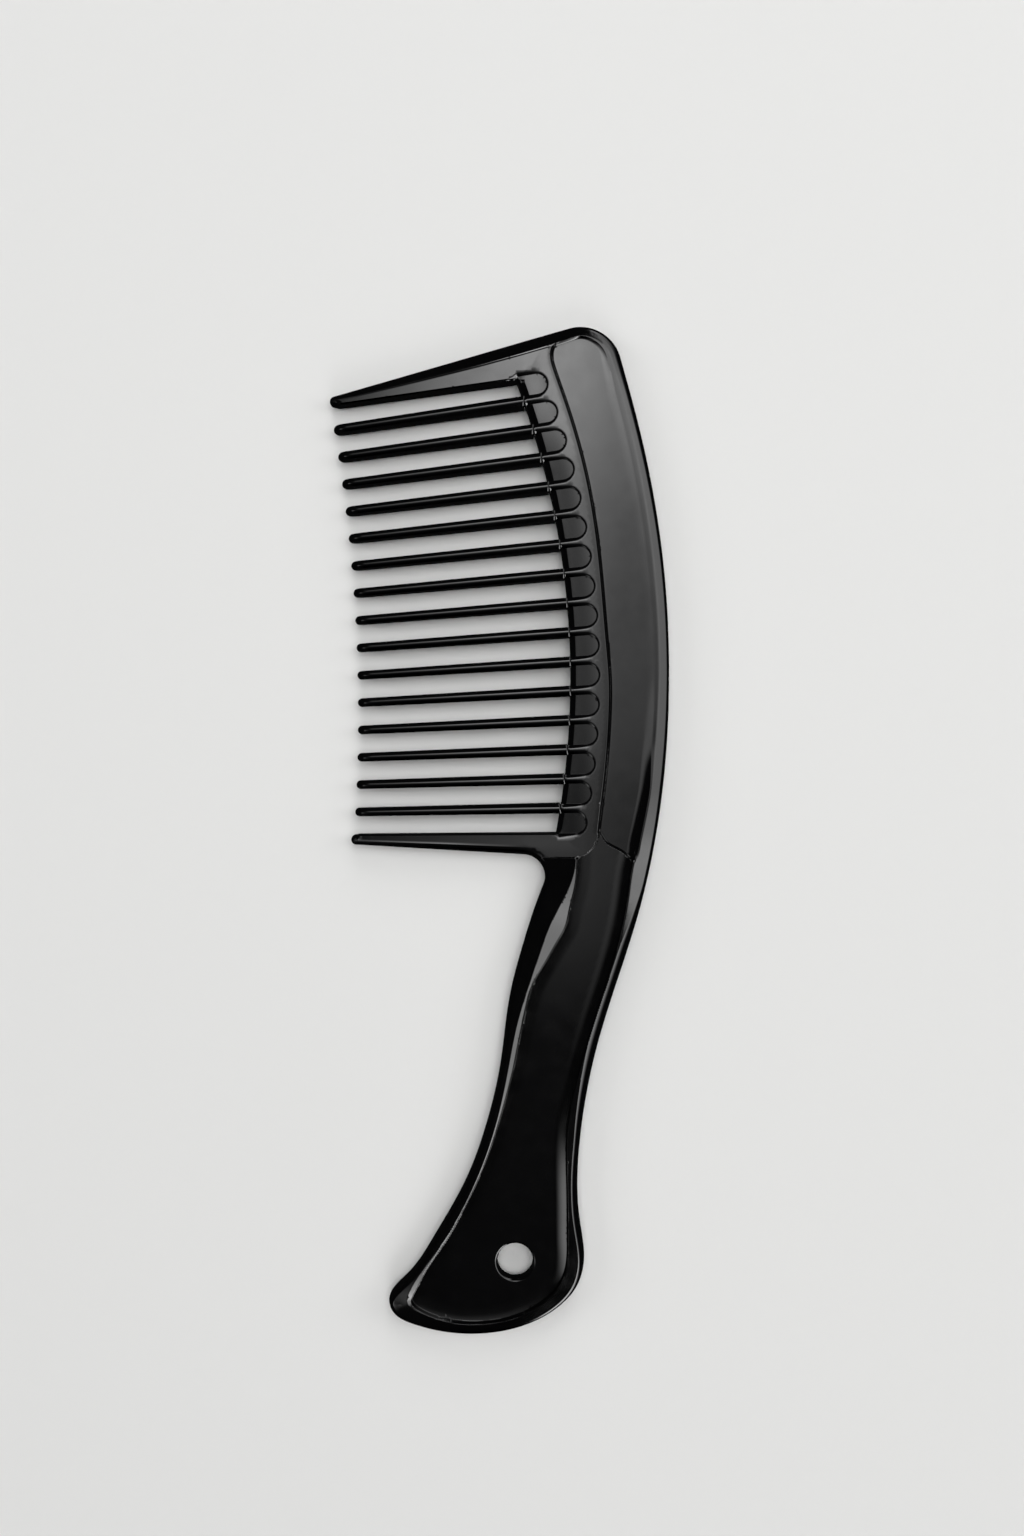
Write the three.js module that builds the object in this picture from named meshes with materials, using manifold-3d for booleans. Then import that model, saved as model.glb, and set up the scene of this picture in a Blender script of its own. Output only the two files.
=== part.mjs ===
// Wide tooth comb with a handle, 225 mm long: one black plastic moulding, lying flat.
// Units are millimetres. The teeth point along -X, the handle lies along -Y, and z = 0 is the
// surface that the comb rests on. Both faces are mirror images about the plane z = MID.
// The moulding is divided where its creases and tooth roots are, with a narrow seam between
// neighbours, so that the bar, the back, the handle and every tooth is a closed solid of its own.
import * as THREE from "three";
import { mergeVertices } from "three/addons/utils/BufferGeometryUtils.js";
import Module from "manifold-3d";

const wasm = await Module();
wasm.setup();

// Thicknesses, across the comb.
const THICKNESS = 6.0; // the tooth bar and the rim of the handle
const MID = THICKNESS / 2;
const BACK_THICKNESS = 5.2; // the rim of the back
const BACK_PANEL = 4.4; // the sunken panel of the back
const HANDLE_WEB = 3.2; // the floor of the handle's dish
const POCKET_DEPTH = 0.4; // each U-shaped pocket in the tooth bar
const EDGE = 0.8; // rounding of the teeth, the guards and the tooth bar
const RIM_EDGE = 1.6; // rounding of the back and the handle
const SEAM = 0.3; // gap between neighbouring solids

// The teeth fan out from one far point, and end on two arcs: the throat and the line of the tips.
const TOOTH_COUNT = 15;
const FAN = { x: -717, y: -9.7 };
const FAN_STEP = THREE.MathUtils.degToRad(0.51);
const FAN_TOP = THREE.MathUtils.degToRad(8.28); // angle of the tooth next to the top guard
const ARC = { x: -171.35, y: 34 }; // centre shared by the throat and the crease
const THROAT_RADIUS = 187.3;
const BAR_WIDTH = 8.9;
const CREASE_RADIUS = THROAT_RADIUS + BAR_WIDTH;
const TIPS = { x: -411.7, y: 25.4 };
const TIP_RADIUS = 380;
const ROOT_WIDTH = 2.3;
const END_WIDTH = 1.8;
const ROOT_DEPTH = 5.8;
const END_DEPTH = 4.4;
const POCKET_LENGTH = 6.1;
const POCKET_WIDTH = 4.5;

// The outside edge, from the top corner round the back and the handle.
const CORNER = { x: 18.2, y: 103.3, radius: 9.2 };
const SPINE = [
  [27.2, 105], [32, 87], [36.6, 60.5], [38, 33.5], [36.2, 6.5], [30.6, -20.5],
  [22.2, -47.2], [18, -69.5], [18, -87.5], [18.9, -96.5],
];
const HANDLE_END = [
  [18.9, -96.5], [17.3, -102], [13, -106.7], [5, -110.8], [-8.4, -112.5], [-19.6, -110.2],
  [-24, -107.4],
];
const HANDLE_FRONT = [
  [-24.7, -105.2], [-20.9, -99.9], [-15.2, -92], [-7.6, -78.5], [-2.7, -65], [0.3, -51.7],
  [2.1, -38.2], [5.5, -24.8], [9.6, -12.8],
];
const ARMPIT = { x: 5.1, y: -10.6, radius: 5.1 }; // inner corner between bottom guard and handle
const GUARD_NOSE = 1.2; // radius of both guards' tips
const TOP_NOSE = { x: -36.8, y: 95.7, radius: GUARD_NOSE };
const BOTTOM_NOSE = { x: -32, y: -2.2, radius: GUARD_NOSE };
const TOP_NOSE_END = 278; // angles at which the straight edges leave the tips, in degrees
const BOTTOM_NOSE_START = 88;
const BOTTOM_NOSE_END = 272;
const TOP_GUARD_ROOT = { x: 5.6, y: 100.2 };
const BOTTOM_GUARD_ROOT = { x: 13.9, y: -0.7 };
const RIM_WIDTH = 2.6;
const HOLE = { x: 3.5, y: -96.2, radius: 4 };

// The seams that part the handle from the bottom of the bar, and then from the back.
const BAR_FOOT = { x: 16.2, y: -0.3, radius: 5.9 };
const BACK_FOOT = [[24, -3], [27, -4.7], [29, -6.3], [60, -14]];
const BAR_FOOT_TOP = 4; // where the bar's side of the crease starts, above its foot
const BACK_FOOT_TOP = 0; // where the back's side of the crease ends

// Limits for the regions that cut the pieces out.
const ABOVE = 115; // just above the comb
const BELOW_BAR = BAR_FOOT.y - BAR_FOOT.radius;
const FAR = 200; // beyond the comb on every side

// Degrees from one point of an arc to the next.
const CORNER_STEP = 12;
const NOSE_STEP = 30;
const ROUND_STEP = 15;
const RAIL_STEP = 2;
const ARMPIT_STEP = 22.5;

const WELD = 1e-4; // vertices closer than this are one
const PLASTIC = { color: 0x0b0b0c, roughness: 0.18, metalness: 0 };
const { degToRad, radToDeg } = THREE.MathUtils;

const vector = ([x, y]) => new THREE.Vector2(x, y);

// Points of a smooth curve through a few given ones.
function curve(points, perSpan = 3) {
  return new THREE.SplineCurve(points.map(vector)).getPoints((points.length - 1) * perSpan);
}

// Points of a circular arc between two angles, in degrees.
function arc({ x, y, radius }, from, to, step = ROUND_STEP) {
  const count = Math.ceil(Math.abs(to - from) / step);
  return Array.from({ length: count + 1 }, (_, i) => {
    const angle = degToRad(from + ((to - from) * i) / count);
    return new THREE.Vector2(x + radius * Math.cos(angle), y + radius * Math.sin(angle));
  });
}

// Points of one of the long arcs about ARC, from one height up the comb to another.
function rail(radius, fromY, toY) {
  const angle = (y) => radToDeg(Math.asin((y - ARC.y) / radius));
  return arc({ ...ARC, radius }, angle(fromY), angle(toY), RAIL_STEP);
}

// Angle of the outward normal of the straight top edge, which touches the corner and the top tip.
function topEdgeAngle() {
  const across = vector([CORNER.x - TOP_NOSE.x, CORNER.y - TOP_NOSE.y]);
  const taper = Math.asin((CORNER.radius - TOP_NOSE.radius) / across.length());
  return 90 + radToDeg(across.angle() + taper);
}

// A polyline moved sideways, to the left of its direction.
function shifted(points, distance) {
  return points.map((point, i) => {
    const before = points[Math.max(i - 1, 0)];
    const after = points[Math.min(i + 1, points.length - 1)];
    const along = after.clone().sub(before).normalize();
    return new THREE.Vector2(point.x - along.y * distance, point.y + along.x * distance);
  });
}

// Where the fan line at an angle crosses a circle, on its far side.
function crossing(angle, centre, radius) {
  const along = new THREE.Vector2(Math.cos(angle), Math.sin(angle));
  const from = new THREE.Vector2(FAN.x - centre.x, FAN.y - centre.y);
  const half = from.dot(along);
  const reach = -half + Math.sqrt(half * half - from.lengthSq() + radius * radius);
  return along.multiplyScalar(reach).add(FAN);
}

// An outline thickened about z = 0, with its edges rounded off by bevel.
function slab(points, thickness, bevel = 0, segments = 2) {
  const geometry = new THREE.ExtrudeGeometry(new THREE.Shape(points), {
    depth: thickness - 2 * bevel,
    bevelEnabled: bevel > 0,
    bevelThickness: bevel,
    bevelSize: bevel,
    bevelOffset: -bevel,
    bevelSegments: segments,
  });
  return geometry.translate(0, 0, bevel - thickness / 2);
}

// Heights scaled by a factor that depends on x, for pieces that thin towards their tips.
function thinned(geometry, factorAt) {
  const position = geometry.attributes.position;
  for (let i = 0; i < position.count; i += 1) {
    position.setZ(i, position.getZ(i) * factorAt(position.getX(i)));
  }
  return geometry;
}

function solid(geometry) {
  const bare = geometry.clone();
  bare.deleteAttribute("normal");
  bare.deleteAttribute("uv");
  const merged = mergeVertices(bare, WELD);
  return new wasm.Manifold(new wasm.Mesh({
    numProp: 3,
    vertProperties: new Float32Array(merged.attributes.position.array),
    triVerts: new Uint32Array(merged.index.array),
  }));
}

function geometryOf(manifold) {
  const { vertProperties, triVerts, numProp } = manifold.getMesh();
  const positions = new Float32Array((vertProperties.length / numProp) * 3);
  for (let i = 0; i < positions.length / 3; i += 1) {
    positions.set(vertProperties.subarray(i * numProp, i * numProp + 3), i * 3);
  }
  const geometry = new THREE.BufferGeometry();
  geometry.setAttribute("position", new THREE.BufferAttribute(positions, 3));
  geometry.setIndex(new THREE.BufferAttribute(triVerts, 1));
  geometry.computeVertexNormals();
  return geometry;
}

const prism = (points, height = 4 * THICKNESS) => solid(slab(points, height));

// An outline of the comb, anticlockwise from the top of the back. front is its stretch from the
// straight top edge to the armpit, and the rest is the same for every piece.
function combOutline(front) {
  const spine = curve(SPINE).reverse();
  const start = radToDeg(Math.atan2(SPINE[0][1] - CORNER.y, SPINE[0][0] - CORNER.x));
  return [
    ...arc(CORNER, start, topEdgeAngle(), CORNER_STEP).slice(1),
    ...front,
    ...arc(ARMPIT, 90, 0, ARMPIT_STEP),
    ...curve(HANDLE_FRONT).reverse(),
    ...curve(HANDLE_END).reverse(),
    ...spine.slice(1),
  ];
}

// Round both guards and along the throat between them.
function guardedOutline() {
  return combOutline([
    ...arc(TOP_NOSE, topEdgeAngle(), TOP_NOSE_END, NOSE_STEP),
    ...rail(THROAT_RADIUS, TOP_GUARD_ROOT.y, BOTTOM_GUARD_ROOT.y),
    ...arc(BOTTOM_NOSE, BOTTOM_NOSE_START, BOTTOM_NOSE_END, NOSE_STEP),
  ]);
}

// The back and the handle are cut from an outline whose front is a plain straight edge.
function plainOutline() {
  const { x, y } = BOTTOM_NOSE;
  return combOutline([new THREE.Vector2(x, TOP_NOSE.y), new THREE.Vector2(x, y)]);
}

// The U-shaped pocket at the closed end of one gap, cut into both faces.
function pocket(angle) {
  const throat = crossing(angle, ARC, THROAT_RADIUS);
  const half = POCKET_WIDTH / 2;
  const bend = { x: POCKET_LENGTH - half, y: 0, radius: half };
  const start = [new THREE.Vector2(-half, half), new THREE.Vector2(-half, -half)];
  const outline = [...start, ...arc(bend, -90, 90, NOSE_STEP)];
  const place = new THREE.Matrix4().makeRotationZ(angle).setPosition(throat.x, throat.y, 0);
  const cutter = slab(outline, THICKNESS).applyMatrix4(place);
  const floor = THICKNESS - POCKET_DEPTH;
  return [floor, -floor].map((z) => solid(cutter.clone().translate(0, 0, z)));
}

function toothBlank() {
  let blank = solid(slab(guardedOutline(), THICKNESS, EDGE));
  for (let gap = 0; gap <= TOOTH_COUNT; gap += 1) {
    const angle = FAN_TOP + FAN_STEP * (0.5 - gap);
    for (const cutter of pocket(angle)) {
      blank = blank.subtract(cutter);
    }
  }
  return blank;
}

// The line under the bottom guard and round the foot of the bar, up to the crease.
function barFootLine() {
  return [new THREE.Vector2(-FAR, BELOW_BAR), ...arc(BAR_FOOT, -90, 0)];
}

function toothBar(blank) {
  const foot = shifted(barFootLine().slice(1), SEAM / 2);
  const region = [
    ...foot,
    ...rail(CREASE_RADIUS - SEAM / 2, BAR_FOOT_TOP, ABOVE),
    ...rail(THROAT_RADIUS, ABOVE, BELOW_BAR + SEAM / 2),
  ];
  return blank.intersect(prism(region));
}

// A guard is the part of the blank in front of the throat, thinned to its tip.
function guard(blank, lowY, highY) {
  const region = [
    ...rail(THROAT_RADIUS - SEAM, lowY, highY),
    new THREE.Vector2(-FAR, highY),
    new THREE.Vector2(-FAR, lowY),
  ];
  const root = TOP_GUARD_ROOT.x;
  const length = root - TOP_NOSE.x;
  const loss = 1 - END_DEPTH / THICKNESS;
  const factorAt = (x) => 1 - loss * Math.max(0, (root - x) / length);
  return solid(thinned(geometryOf(blank.intersect(prism(region))), factorAt));
}

function back() {
  const foot = shifted(BACK_FOOT.map(vector), SEAM / 2);
  const region = [
    ...rail(CREASE_RADIUS + SEAM / 2, ABOVE, BACK_FOOT_TOP),
    ...foot,
    new THREE.Vector2(FAR, FAR),
    new THREE.Vector2(0, FAR),
  ];
  const corner = arc(CORNER, 2 * ROUND_STEP, topEdgeAngle());
  const rim = shifted([...curve(SPINE).reverse(), ...corner], RIM_WIDTH);
  const panel = [...rim, new THREE.Vector2(0, CORNER.y), new THREE.Vector2(0, -FAR)];
  let body = solid(slab(plainOutline(), BACK_THICKNESS, RIM_EDGE)).intersect(prism(region));
  const height = (BACK_PANEL + BACK_THICKNESS) / 2;
  for (const z of [height, -height]) {
    body = body.subtract(solid(slab(panel, BACK_THICKNESS).translate(0, 0, z)));
  }
  return body;
}

function handle() {
  const top = shifted([...barFootLine(), ...BACK_FOOT.map(vector)], -SEAM / 2);
  const region = [...top.reverse(), new THREE.Vector2(-FAR, -FAR), new THREE.Vector2(FAR, -FAR)];
  const loop = [
    ...curve(HANDLE_FRONT).reverse().slice(2),
    ...curve(HANDLE_END).reverse(),
    ...curve(SPINE.slice(4)).reverse().slice(1),
  ];
  const dish = shifted(loop, RIM_WIDTH);
  let body = solid(slab(plainOutline(), THICKNESS, RIM_EDGE)).intersect(prism(region));
  const height = (HANDLE_WEB + THICKNESS) / 2;
  for (const z of [height, -height]) {
    body = body.subtract(solid(slab(dish, THICKNESS).translate(0, 0, z)));
  }
  return body.subtract(prism(arc(HOLE, 0, 360).slice(1)));
}

// One tooth lies along -X from its root, with a round nose.
function tooth(length, slant) {
  const rootHalf = ROOT_WIDTH / 2;
  const endHalf = END_WIDTH / 2;
  const nose = { x: endHalf - length, y: 0, radius: endHalf };
  const outline = [
    new THREE.Vector2(slant * rootHalf, -rootHalf),
    new THREE.Vector2(-slant * rootHalf, rootHalf),
    ...arc(nose, 90, 270, NOSE_STEP),
  ];
  const loss = 1 - END_DEPTH / ROOT_DEPTH;
  return thinned(slab(outline, ROOT_DEPTH, EDGE, 1), (x) => 1 + (loss * x) / length);
}

function part(name, geometry) {
  const mesh = new THREE.Mesh(geometry, new THREE.MeshStandardMaterial(PLASTIC));
  mesh.name = name;
  return mesh;
}

// Tooth number 1 is next to the top guard.
function toothMesh(number) {
  const angle = FAN_TOP - FAN_STEP * (number - 1);
  const root = crossing(angle, ARC, THROAT_RADIUS - SEAM);
  const tip = crossing(angle, TIPS, TIP_RADIUS);
  const throatAngle = Math.asin((root.y - ARC.y) / THROAT_RADIUS);
  const slant = Math.tan(throatAngle - angle);
  const mesh = part(`tooth_${String(number).padStart(2, "0")}`, tooth(root.distanceTo(tip), slant));
  mesh.position.set(root.x, root.y, 0);
  mesh.rotation.z = angle;
  return mesh;
}

const comb = new THREE.Group();
comb.position.z = MID;
const blank = toothBlank();
comb.add(part("handle", geometryOf(handle())));
comb.add(part("back", geometryOf(back())));
comb.add(part("tooth_bar", geometryOf(toothBar(blank))));
comb.add(part("guard_top", geometryOf(guard(blank, ARC.y, ABOVE))));
comb.add(part("guard_bottom", geometryOf(guard(blank, BELOW_BAR, ARC.y))));
for (let number = 1; number <= TOOTH_COUNT; number += 1) {
  comb.add(toothMesh(number));
}

export default comb;
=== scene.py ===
import math

import bpy
import numpy as np
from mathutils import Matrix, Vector, kdtree
from mathutils.geometry import delaunay_2d_cdt


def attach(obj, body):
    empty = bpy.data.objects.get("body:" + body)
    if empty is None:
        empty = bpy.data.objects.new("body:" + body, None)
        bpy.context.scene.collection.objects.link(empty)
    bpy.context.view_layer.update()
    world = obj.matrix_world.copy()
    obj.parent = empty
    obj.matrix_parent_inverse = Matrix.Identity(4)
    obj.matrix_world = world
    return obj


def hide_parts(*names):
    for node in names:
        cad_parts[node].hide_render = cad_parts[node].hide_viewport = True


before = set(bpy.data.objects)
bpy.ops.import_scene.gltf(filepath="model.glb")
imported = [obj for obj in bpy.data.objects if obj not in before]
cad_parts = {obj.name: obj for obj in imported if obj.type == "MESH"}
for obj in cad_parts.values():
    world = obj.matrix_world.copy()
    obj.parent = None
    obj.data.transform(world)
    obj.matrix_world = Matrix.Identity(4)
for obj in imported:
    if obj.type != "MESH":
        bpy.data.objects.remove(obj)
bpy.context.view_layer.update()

MM = 0.001
MID = 3.0  # half the comb's thickness

# Half thicknesses.
LAND = 3.0  # the tooth bar and the handle's rim
LAND_TOP = 2.78  # the bar at its upper end, where it lies below the outer rim
PANEL = 2.2  # the sunken panel of the back
GROOVE = 1.85  # the bottom of the crease between the bar and the back
DISH_TOP = 2.0  # the handle's dish at the neck
DISH_END = 1.6  # the handle's dish at its round end
PARTING = 0.08  # the fine flat where the two mould halves meet

# The teeth fan out from one far point. They run from the throat, an arc about ARC, to an arc about
# TIPS, and the crease between the bar and the back is another arc about ARC.
TOOTH_COUNT = 15
FAN = (-717.0, -9.7)
FAN_STEP = math.radians(0.51)
FAN_TOP = math.radians(8.28)
ARC = (-171.35, 34.0)
THROAT_RADIUS = 187.3
BAR_WIDTH = 8.9
CREASE_RADIUS = THROAT_RADIUS + BAR_WIDTH
TIPS = (-411.7, 25.4)
TIP_RADIUS = 380.0
ROOT_WIDTH = 2.45
END_WIDTH = 1.95
ROOT_HALF = 2.9  # half a tooth's depth
END_HALF = 2.2
DRAFT = 0.113  # the share of its width that a tooth loses from its middle to its shoulders
BODY_DROP = 0.36  # from a tooth's crown to its shoulders
NOSE_LENGTH = 2.2

# The U-shaped pocket at the end of each gap, whose floor sinks towards the throat.
POCKET_LENGTH = 6.1
POCKET_HALF = 2.25
POCKET_DROP = 0.07
POCKET_TILT = 0.06
POCKET_REACH = 735.0  # from FAN to the pockets
POCKET_BEND = (3.7, 5.9)  # where the soft flank of the rib turns into the pocket's crisper end
END_BEND = 0.55
ROOT_DROP = POCKET_DROP + POCKET_TILT * POCKET_LENGTH
GAP_CORNER = 0.12  # from the slope at the end of a gap to the rib beside it
ROOT_BLEND = 9.0  # the stretch in which a tooth's shoulders rise from ROOT_DROP to BODY_DROP

# The outside edge.
CORNER = (18.2, 103.3)
CORNER_RADIUS = 9.17
CORNER_START = math.radians(16)
SPINE = [
    (32, 87), (36.6, 60.5), (37.98, 33.5), (36.2, 6.5), (30.6, -20.5),
    (22.2, -47.2), (18, -69.5), (18, -87.5), (18.9, -96.5),
]
HANDLE_END = [(17.3, -102), (13, -106.7), (5, -110.8), (-8.4, -112.42), (-19.6, -110.2), (-24, -107.4)]
HANDLE_FRONT = [
    (-24.7, -105.2), (-20.9, -99.9), (-15.2, -92), (-7.6, -78.5), (-2.7, -65), (0.3, -51.7), (2.1, -38.2),
    (5.5, -24.8), (9.6, -12.8),
]
ARMPIT = (5.1, -10.6)
ARMPIT_RADIUS = 5.1
NOSE_RADIUS = 1.17
TOP_NOSE = (-36.8, 95.7)
TOP_NOSE_END = math.radians(278)
BOTTOM_NOSE = (-32.0, -2.2)
BOTTOM_NOSE_START = math.radians(88)
BOTTOM_NOSE_END = math.radians(268)
TOP_GUARD_ROOT = (5.6, 100.2)
BOTTOM_GUARD_ROOT = (13.9, -0.7)
GUARD_LOSS = 1 - END_HALF / LAND  # the guards get thinner towards their noses
HOLE = (3.5, -96.2)
HOLE_RADIUS = 4.0
HOLE_BEND = 0.55
HOLE_LOSS = 0.3

# The foot of the bar and of the back, where they step down to the handle.
BAR_FOOT_Y = -0.3
BAR_FOOT_RADIUS = 5.9
BACK_FOOT = [(24, -3), (27, -4.7), (29, -6.3), (37, -10)]
FOOT_LEAD = 20.0  # how far the foot's line runs on under the bottom guard
FOOT_WALL = 0.25  # the width of the step
FOOT_FADE = (28.5, 30.5)  # across the comb, the step melts into the outer rim
FOOT_FADED = 4.0
FOOT_GROOVE = 0.3  # the depth of the groove along the back's foot
FOOT_GROOVE_SPAN = (21, 22.5, 28.5, 30)  # across the comb, where it starts, is full, fades and ends
FOOT_GROOVE_WALL = 0.06
FOOT_GROOVE_BEND = 0.6

# The crease between the bar and the back, which curls over at the top.
CREASE_LINE = [
    (22.2, BAR_FOOT_Y), (23.2, 8), (24.6, 24.5), (24.7, 33.5), (24, 42.5), (22.4, 60.4), (19.6, 78.3),
    (14.5, 96.3), (12.4, 102.3), (11.7, 105.6), (12.3, 107.9), (13.8, 109.8),
]
BAR_BEND = 0.6  # the rounding on each side of the crease
BACK_BEND = 0.4
BAR_ROLL = 1.3  # the stretch beside the crease where the bar's land rolls down a little
BAR_ROLL_DROP = 0.06
BAR_RIM = 1.8  # the most that the rim takes up at the ends of the bar

# The rounded outside edge at places along it. Each row is a place on the edge, the width of its
# rounding, the distance in from the edge to the rim's crest, the width of the slope inside the
# crest, the crest's half thickness, how steeply the rim falls from the crest to the edge, and the
# width over which that fall begins.
RIM = [
    (TOP_NOSE[0], TOP_NOSE[1] + NOSE_RADIUS, 0.9, 1.2, 0.4, 2.1, 0.15, 0.1),
    (-33, 98, 0.9, 1.7, 0.4, 2.25, 0.25, 0.1),
    (-18, 102.5, 1.0, 2.4, 0.45, 2.55, 0.29, 0.1),
    (-6, 106.2, 1.0, 2.9, 0.45, 2.8, 0.29, 0.1),
    (3, 109, 1.0, 3.05, 0.45, 2.98, 0.29, 0.1),
    (13, 111.5, 1.0, 3.0, 0.45, 2.95, 0.29, 0.1),
    (18, 112.5, 1.2, 2.6, 0.6, 2.6, 0.27, 0.3),
    (24, 110.4, 1.6, 2.9, 1.0, 2.3, 0.2, 1.0),
    (29, 98, 1.3, 3.5, 2.0, 2.22, 0.14, 1.6),
    (36.6, 60.5, 0.9, 3.6, 2.0, 2.22, 0.14, 1.6),
    (38, 35, 0.8, 3.4, 2.0, 2.22, 0.14, 1.4),
    (37.4, 18, 0.9, 3.6, 2.2, 2.3, 0.14, 1.2),
    (36.6, 9, 1.0, 3.0, 2.6, 2.65, 0.14, 0.5),
    (34.6, -3, 1.0, 3.6, 2.6, LAND, 0.14, 0.5),
    (32.5, -13, 1.0, 3.6, 2.0, LAND, 0.14, 0.5),
    (29, -26, 2.2, 2.9, 0.8, LAND, 0.08, 0.3),
    (22.2, -47, 2.7, 2.7, 0.8, LAND, 0.02, 0.2),
    (18, -69.5, 1.6, 2.9, 0.8, LAND, 0.03, 0.3),
    (18.3, -90, 1.6, 2.9, 0.8, LAND, 0.05, 0.3),
    (13, -106.7, 1.2, 2.6, 0.8, LAND, 0.15, 0.1),
    (-8.4, -112.5, 1.3, 2.6, 0.8, LAND, 0.1, 0.1),
    (-24.7, -106, 1.3, 2.6, 0.8, LAND, 0.08, 0.1),
    (-7.6, -78.5, 1.2, 2.3, 0.8, LAND, 0.2, 0.1),
    (5.5, -24.8, 1.2, 3.9, 0.8, LAND, 0.2, 0.1),
    (10.2, -11, 1.2, 5.0, 0.8, LAND, 0.17, 0.1),
    (5.1, -5.5, 1.2, 1.8, 0.5, 2.95, 0.2, 0.1),
    (-12, -4.4, 0.9, 1.5, 0.5, 2.68, 0.25, 0.1),
    (BOTTOM_NOSE[0], BOTTOM_NOSE[1] - NOSE_RADIUS, 0.8, 1.0, 0.4, 2.3, 0.1, 0.1),
]

# The walled edge between the guards: a place on it, the width of the slope at its top, and the share
# of the half thickness that the slope falls.
WALL = [
    (TOP_NOSE[0], TOP_NOSE[1] - NOSE_RADIUS, 0.35, 0.12),
    (TOP_GUARD_ROOT[0] - 0.6, TOP_GUARD_ROOT[1], 0.35, 0.12),
    (TOP_GUARD_ROOT[0] + 0.1, TOP_GUARD_ROOT[1] - 0.5, 1.5, 0.3),
    (13.5, 60, 1.15, 0.26),
    (BOTTOM_GUARD_ROOT[0] + 0.1, BOTTOM_GUARD_ROOT[1] + 0.5, 1.0, 0.24),
    (BOTTOM_GUARD_ROOT[0] - 0.6, BOTTOM_GUARD_ROOT[1], 0.35, 0.12),
    (BOTTOM_NOSE[0], BOTTOM_NOSE[1] + NOSE_RADIUS, 0.35, 0.12),
]

# The edge of the handle's dish. Inside it come a bevel and a wall, and each row of DISH_SIDE is a
# place on the edge, the width of the bevel there, and the depth of the wall's foot below the ridge.
DISH = [
    (16.8, -8.5), (14, -15.8), (11.8, -20), (9.1, -27), (6.6, -34.4), (3.9, -43.5), (2.2, -52), (-0.4, -64),
    (-7.4, -82.5), (-13.6, -93), (-19.4, -101.4), (-20.4, -104.6), (-16.6, -107.4), (-7.6, -109.6),
    (3.2, -108.3), (11, -103.8), (14.4, -99), (15.3, -91.5), (15.2, -79), (15.3, -66), (18, -53),
    (22.4, -38.5), (25.3, -29.2), (28.3, -16), (29.7, -7), (30.2, 2), (24, 6), (18, 1),
]
DISH_SIDE = [
    (16.8, -8.5, 0.1, 0.85), (14, -15.8, 1.7, 0.9), (11.8, -20, 3.3, 0.9), (9.1, -27, 2.0, 0.95),
    (6.6, -34.4, 0.3, 0.95), (3.9, -43.5, 0.9, 1.0), (2.2, -52, 0.9, 1.05), (-0.4, -64, 0.3, 1.15),
    (-7.4, -82.5, 0.1, 1.2), (-16, -96.5, 0.4, 1.2), (-20, -102.6, 1.1, 1.2), (-16.6, -107.4, 0, 1.15),
    (3.2, -108.3, 0, 1.1), (13, -101, 0, 1.1), (15.3, -91.5, 0, 0.7), (15.2, -79, 0, 0.7),
    (15.3, -66, 0, 0.9), (22.4, -38.5, 0, 0.7), (28.3, -16, 0, 0.6), (30.2, 2, 0, 0.5), (18, 1, 0, 0.8),
]
BEVEL_SLOPE = 0.25
WALL_WIDTH = 0.35
TROUGH = 3.5  # from the foot of the wall to the level middle of the dish

STEP = 0.012  # for measuring the slope of the plate
CREASED = 0.06  # the change of slope over a step that counts as a crease
NUDGE = 0.03  # from a crease to one side of it
SAMPLE = 0.15  # between the points of an edge
FILL = 0.8  # between the vertices of a smooth stretch of the plate
FILL_CLEAR = 0.34  # from those vertices to the ones along edges and bends
WELD_DIGITS = 4  # vertices inside the outline that agree to this many decimals are one
FEATURE_CLEAR = 0.025  # from the vertices along bends to the ones on the outline and the seams
SHARP_TURN = math.radians(43.1)  # a wall that turns more than this has a corner
RING_MISS = 0.02  # how far a vertex beside an edge may be from its wanted distance
FAR = 300.0
PIECE = "{}_moulding"


# ---------------------------------------------------------------- lines

def arc(centre, radius, start, end):
    """Points SAMPLE apart on a circular arc between two angles in radians."""
    count = max(2, math.ceil(abs(end - start) * radius / SAMPLE)) + 1
    angles = np.linspace(start, end, count)
    return np.array(centre) + radius * np.column_stack([np.cos(angles), np.sin(angles)])


def straight(start, end):
    count = max(2, math.ceil(math.dist(start, end) / SAMPLE)) + 1
    return np.linspace(np.array(start, float), np.array(end, float), count)


def rail(radius, from_y, to_y):
    """One of the long arcs about ARC, between two heights up the comb."""
    start, end = [math.asin((y - ARC[1]) / radius) for y in (from_y, to_y)]
    return arc(ARC, radius, start, end)


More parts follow.
